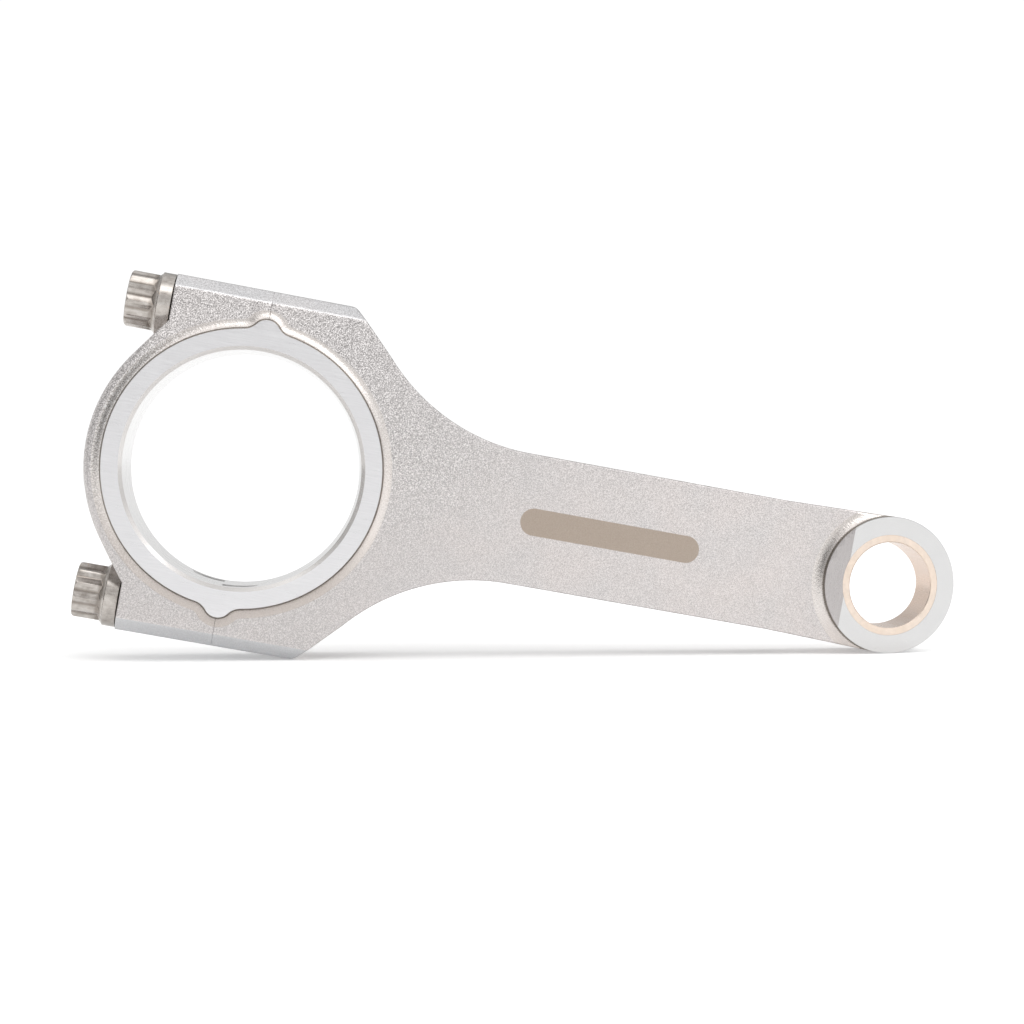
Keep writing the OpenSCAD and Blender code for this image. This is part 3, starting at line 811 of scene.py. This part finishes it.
# ---------------------------------------------------------------- the bearing cap
def build_cap():
    """The bearing cap: the other half of the big end, with rounded flanks and a seat for each bolt."""
    a = math.degrees(math.atan2(FLANK_Z, -FLANK_X))
    arch = arc(0, 0, ARCH_R, a, 180, 0.7)
    parting = line((0.0, BORE_R), (0.0, SIDE), 1.0)
    flank = line((SEAT_X, SEAT_Z), (-FLANK_X, FLANK_Z), 1.5)
    half = join(parting, line((0.0, SIDE), (SEAT_X, SIDE), 2.0),
                line((SEAT_X, SIDE), (SEAT_X, SEAT_Z), 1.5), flank, arch)
    bore = arc(0, 0, BORE_R, -90, -270, 0.7)
    outer = join(half, flip(half)[1:], bore)[:-1]
    skirt = join(flank, arch)
    skirt = join(skirt, flip(skirt)[1:])
    seat = [line((SEAT_X, s * SIDE), (SEAT_X, s * SEAT_Z), 1.5) for s in (-1, 1)]

    def skirt_r(z):
        """Rounding of the flank's edge, smaller towards the bolts."""
        t = np.clip((np.abs(z) - 15) / 10, 0, 1)
        return 1.7 - 1.25 * t * t * (3 - 2 * t)

    def height(p):
        x, z = p[:, 0], p[:, 1]
        h = np.full(len(p), FACE)
        ring = ring_dist(p)
        h = np.maximum(h, hollow(ring, BIG_HALF, FACE))
        h = soft_min(h, FACE - (np.abs(z) - (SIDE - BAND)), CREASE[-1])
        r = np.hypot(x, z)
        h = np.minimum(h, np.where(r < BORE_R + MOUTH, BIG_HALF - (BORE_R + MOUTH - r), 99))
        h = h - round_over(seg_dist(p, skirt), skirt_r(z))
        h = h - round_over(np.minimum(seg_dist(p, seat[0]), seg_dist(p, seat[1])), 0.3)
        h = h - round_over(SIDE - np.abs(z), FLAT_EDGE_R)
        return h - round_over(np.abs(x), PART_R) * (ring > 0)

    curves = [half_ring(d, -1) for d in foot_steps(FOOT_W)]
    rows = [SIDE - d for d in EDGE_ROWS]
    curves += [line((0, z), (SEAT_X, z), 2.0) for z in rows + [-z for z in rows]]
    curves += [arc(0, 0, BORE_R + MOUTH, 90, 270, 0.7)]
    for s in (-1, 1):
        for dz in CREASE:
            crease = s * (SIDE - BAND + dz)
            curves.append(line((SEAT_X, crease), (0, crease), 2.0))
        for d in (0.08, 0.18, 0.3):
            curves.append(line((SEAT_X + d, s * SIDE), (SEAT_X + d, s * (SEAT_Z - 0.4)), 1.5))
        for d in (0.04, PART_R):
            curves.append(line((-d, s * (LOBE_TIP + 0.3)), (-d, s * SIDE), 1.0))
    normal = np.gradient(skirt, axis=0)
    normal = np.c_[-normal[:, 1], normal[:, 0]] / np.hypot(*normal.T)[:, None]
    for k in (0.04, 0.13, 0.28, 0.48, 0.72, 1.0):
        curves.append(skirt + normal * (k * skirt_r(skirt[:, 1]))[:, None])

    none = np.zeros((0, 2))
    ob = skin("bearing_cap", outer, [], curves, none, height, big_end_slots, big_end_walls, STEEL)
    carve(ob, *[cap_hole(s) for s in (-1, 1)], shell_notch("cap_notch", NOTCH_Y))
    finish_mesh(ob)
    return ob


# ---------------------------------------------------------------- bush, sleeves and bolts
def build_bush():
    """Bush faced off flush with the taper, with its own small bore chamfers."""
    turns, lip, rim = 240, 0.18, 0.05
    t = np.linspace(0, 2 * math.pi, turns, endpoint=False)
    rows = [(BUSH_R, -rim, -1), (BUSH_R - rim, 0, -1), (PIN_R + lip, 0, -1), (PIN_R, -lip, -1),
            (PIN_R, -lip, 1), (PIN_R + lip, 0, 1), (BUSH_R - rim, 0, 1), (BUSH_R, -rim, 1)]
    verts = []
    for r, drop, side in rows:
        x, z = L + r * np.cos(t), r * np.sin(t)
        y = side * (taper_at(x) + drop)
        verts += [(a * MM, b * MM, c * MM) for a, b, c in zip(x, y, z)]
    faces, slots = [], []
    for i in range(len(rows)):
        j = (i + 1) % len(rows)
        for k in range(turns):
            m = (k + 1) % turns
            faces.append((i * turns + k, j * turns + k, j * turns + m, i * turns + m))
            slots.append(1 if i == 3 else 0)
    ob = new_object("pin_bush", verts, faces, [BUSH_FACE, BUSH_WALL], slots)
    carve(ob, *[oil_hole(s, "bush") for s in (-1, 1)])
    finish_mesh(ob)
    return ob


def build_sleeve(name, s):
    """Hollow dowel round a bolt, chamfered inside and out."""
    end, out, lip = SLEEVE_HALF, 0.25, 0.15
    profile = [(-end, HOLE_R + lip), (-end, SLEEVE_R - out), (-end + out, SLEEVE_R),
               (end - out, SLEEVE_R), (end, SLEEVE_R - out), (end, HOLE_R + lip),
               (end - lip, HOLE_R), (-end + lip, HOLE_R), (-end, HOLE_R + lip)]
    ob = lathe(name, profile, [SLEEVE_MAT], 0, 96, (0, 0, s * BOLT_Z))
    finish_mesh(ob)
    return ob


def star(t):
    """Radius of the twelve-point head round its axis, with its points and valleys a little rounded."""
    fine = np.linspace(0, 2 * math.pi, 2880, endpoint=False)
    flat = HEAD_R * math.cos(math.radians(30))
    r = np.maximum(*(flat / np.cos((a % (math.pi / 3)) - math.pi / 6) for a in (fine, fine + math.pi / 6)))
    reach = 17
    soft = sum(np.roll(r, i) for i in range(-reach, reach + 1)) / (2 * reach + 1)
    return np.interp(t % (2 * math.pi), np.append(fine, 2 * math.pi), np.append(soft, soft[0]))


def build_bolt(name, s, turn):
    """Cap bolt: twelve-point head, turned so that a point lies turn degrees above its front, a flange with
    a coned top, a reduced shank and a rolled thread."""
    head_end = HEAD_END - SEAT_X
    tip = BOLT_END - SEAT_X
    crown = 0.9

    def head(a, t):
        limit = HEAD_R + 0.02 - round_over(np.array([a - head_end]), crown)[0]
        points = np.minimum(star(t + math.radians(turn)), limit)
        if a < NECK - 0.5:
            return points
        down = (a - (NECK - 0.5)) / (-FLANGE_T - NECK + 0.5)
        return np.maximum(points, 5.3 + down * 1.3)

    def thread(a, t):
        where = (a / PITCH - t / (2 * math.pi)) % 1.0
        fade = np.clip((a - 16.2) / 1.2, 0, 1) * np.clip((tip - 0.9 - a) / 0.8, 0, 1)
        return BOLT_R - 0.58 * fade * np.clip((np.abs(where - 0.5) * 2 - 0.12) / 0.72, 0, 1)

    def shape(a, r, t):
        if r > 0:
            return np.full(len(t), r)
        return head(a, t) if a < 0 else thread(a, t)

    free = -1      # the radius comes from head() or thread()
    prof = [(head_end + v, r) for v, r in ((0.75, 0.05), (0.45, 0.7), (0.1, 1.5), (0, 1.75))]
    prof += [(head_end, HEAD_R - 1.6)]
    prof += [(head_end + v, free) for v in (0.0, 0.04, 0.12, 0.25, 0.42, 0.62, crown)]
    prof += [(v, free) for v in np.linspace(head_end + 1.4, NECK - 0.6, 6)]
    prof += [(v, free) for v in np.linspace(NECK - 0.5, -FLANGE_T - 0.02, 14)]
    prof += [(-FLANGE_T, 6.64), (-FLANGE_T + 0.05, FLANGE_R - 0.1), (-FLANGE_T + 0.16, FLANGE_R)]
    # the gap under the flange, near black as painted shade
    rim = len(prof) + 1
    prof += [(-0.66, FLANGE_R), (-0.58, FLANGE_R - 0.06), (-0.55, FLANGE_R - 0.7)]
    prof += [(0.0, FLANGE_R - 0.7), (0.0, BOLT_R + 0.04), (0.3, BOLT_R)]
    prof += [(6.0, BOLT_R), (6.4, BOLT_R - 0.12), (7.0, WAIST_R)]
    prof += [(15.0, WAIST_R), (15.6, BOLT_R - 0.12), (16.0, BOLT_R)]
    prof += [(v, free) for v in np.arange(16.1, tip - 0.85, PITCH / 9)]
    prof += [(tip - 0.8, BOLT_R - 0.05), (tip, BOLT_R - 0.95), (tip, 1.7), (tip - 0.5, 0.8)]
    prof += [(tip - 0.9, 0.05)]
    slots = [1 if rim <= i < rim + 3 else 0 for i in range(len(prof))]
    seat = (SEAT_X, 0, s * BOLT_Z)
    ob = lathe(name, prof, [BOLT_MAT, SEAT_GAP_SHADE], 0, 144, seat, (1, 0, 0), slots, shape)
    finish_mesh(ob, 24)
    return ob


rod = build_rod()
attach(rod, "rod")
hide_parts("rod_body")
cap = build_cap()
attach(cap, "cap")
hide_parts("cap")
bush = build_bush()
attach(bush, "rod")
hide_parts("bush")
for end, s, turn in (("top", 1, 21.8), ("bottom", -1, 17.5)):
    sleeve = build_sleeve("dowel_sleeve_" + end, s)
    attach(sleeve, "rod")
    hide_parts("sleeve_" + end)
    bolt = build_bolt("cap_bolt_" + end, s, turn)
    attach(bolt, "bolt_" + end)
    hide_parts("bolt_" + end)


# ---------------------------------------------------------------- floor, light and camera
def build_floor():
    """Pale floor, glowing a little, that the rod stands on with the end of its lower flat side and its
    small end."""
    dist = math.hypot(L - CORNER_X, SIDE)
    tilt = math.atan2(SIDE, L - CORNER_X) - math.asin(EYE_R / dist)
    m, nt, bsdf = nodes_of("floor_paper", (0.92, 0.92, 0.92), 0.9, 0.0)
    grain = noise(nt, coords(nt), 0.02, 2.0)
    paper = ramp(nt, grain, [(0.3, (0.9, 0.9, 0.9)), (0.7, (0.93, 0.93, 0.93))])
    nt.links.new(paper, bsdf.inputs["Base Color"])
    bsdf.inputs["Emission Color"].default_value = (1, 1, 1, 1)
    bsdf.inputs["Emission Strength"].default_value = 0.26
    n, half = 24, 3.0
    g = np.linspace(-half, half, n + 1)
    verts = [(x, y, 0) for y in g for x in g]
    corners = [j * (n + 1) + i for j in range(n) for i in range(n)]
    faces = [(c, c + 1, c + n + 2, c + n + 1) for c in corners]
    ob = new_object("floor", verts, faces, [m], [0] * len(faces))
    under = Vector((CORNER_X, 0, -(SIDE + 0.02))) * MM
    ob.matrix_world = Matrix.Translation(under) @ Matrix.Rotation(-tilt, 4, "Y")


build_floor()


def area(name, loc, aim, size, size_y, watts):
    data = bpy.data.lights.new(name, "AREA")
    data.shape = "RECTANGLE"
    data.size, data.size_y = size, size_y
    data.energy = watts
    ob = bpy.data.objects.new(name, data)
    ob.location = loc
    ob.rotation_euler = (Vector(aim) - Vector(loc)).to_track_quat("-Z", "Y").to_euler()
    bpy.context.scene.collection.objects.link(ob)


def build_world():
    """White to the camera. To the rod, a studio: bright overhead, dim on the left, with a gap right of the
    camera, and darker above the far side."""
    w = bpy.data.worlds.new("studio")
    bpy.context.scene.world = w
    w.use_nodes = True
    nt = w.node_tree
    bg = nt.nodes["Background"]
    x, y, z = split(nt, nt.nodes.new("ShaderNodeTexCoord").outputs["Generated"])
    turn = math_node(nt, "ARCTAN2", x, times(nt, y, -1.0))
    around = levels(nt, remap(nt, turn, -math.pi, math.pi), AROUND, 180)
    height = levels(nt, remap(nt, z, -1.0, 1.0), UPWARD, 1)
    fade = remap(nt, z, 0.4, 0.9)
    side = math_node(nt, "ADD", around, times(nt, fade, math_node(nt, "SUBTRACT", 1.0, around)))
    behind = times(nt, remap(nt, y, 0.1, 0.5), remap(nt, z, 0.2, 0.45))
    hood = math_node(nt, "SUBTRACT", 1.0, times(nt, behind, 0.5))
    level = times(nt, times(nt, side, height), times(nt, hood, 2.0))
    lp = nt.nodes.new("ShaderNodeLightPath")
    seen = nt.nodes.new("ShaderNodeMix")
    seen.data_type = "FLOAT"
    nt.links.new(lp.outputs["Is Camera Ray"], seen.inputs[0])
    nt.links.new(level, seen.inputs[2])
    seen.inputs[3].default_value = 1.05
    nt.links.new(seen.outputs[0], bg.inputs["Strength"])
    bg.inputs["Color"].default_value = (1, 1, 1, 1)


def levels(nt, fac, table, span):
    """Brightness looked up along a smooth curve. The table's places run from -span to span."""
    col = ramp(nt, fac, [((at + span) / (2 * span), (v, v, v)) for at, v in table])
    bw = nt.nodes.new("ShaderNodeRGBToBW")
    nt.links.new(col, bw.inputs[0])
    return bw.outputs[0]


# brightness by degrees right of straight in front, and by the sine of the height; the product is doubled
AROUND = [(-180, 0.95), (-96, 0.95), (-66, 0.3), (-42, 0.3), (-22, 0.8), (-8, 0.9), (6, 0.95),
          (11, 0.9), (15, 0.6), (19, 0.9), (32, 1.1), (90, 1.0), (180, 0.95)]
UPWARD = [(-1.0, 0.5), (0.0, 0.5), (0.2, 0.5), (0.4, 0.46), (0.6, 0.6), (0.8, 0.8), (0.93, 0.64),
          (1.0, 0.5)]


build_world()
area("softbox", (0.18, -0.33, 0.62), (0.06, 0, 0), 0.8, 0.34, 0.8)
bpy.context.scene.view_settings.view_transform = "Standard"


def build_camera():
    """Long lens in front of the big end, level with it, and rolled with the floor."""
    data = bpy.data.cameras.new("camera")
    data.lens, data.sensor_width = 76.42, 36.0
    data.clip_start, data.clip_end = 0.01, 50
    forward = Vector((0.09209, 0.99570, -0.00976)).normalized()
    right = Vector((0.97999, -0.08889, 0.17807)).normalized()
    up = right.cross(forward)
    ob = bpy.data.objects.new("camera", data)
    rot = Matrix((right, up, -forward)).transposed()
    eye = Vector((15.27, -477.0, 5.71)) * MM
    ob.matrix_world = Matrix.Translation(eye) @ rot.to_4x4()
    bpy.context.scene.collection.objects.link(ob)
    bpy.context.scene.camera = ob


build_camera()
bpy.context.view_layer.update()
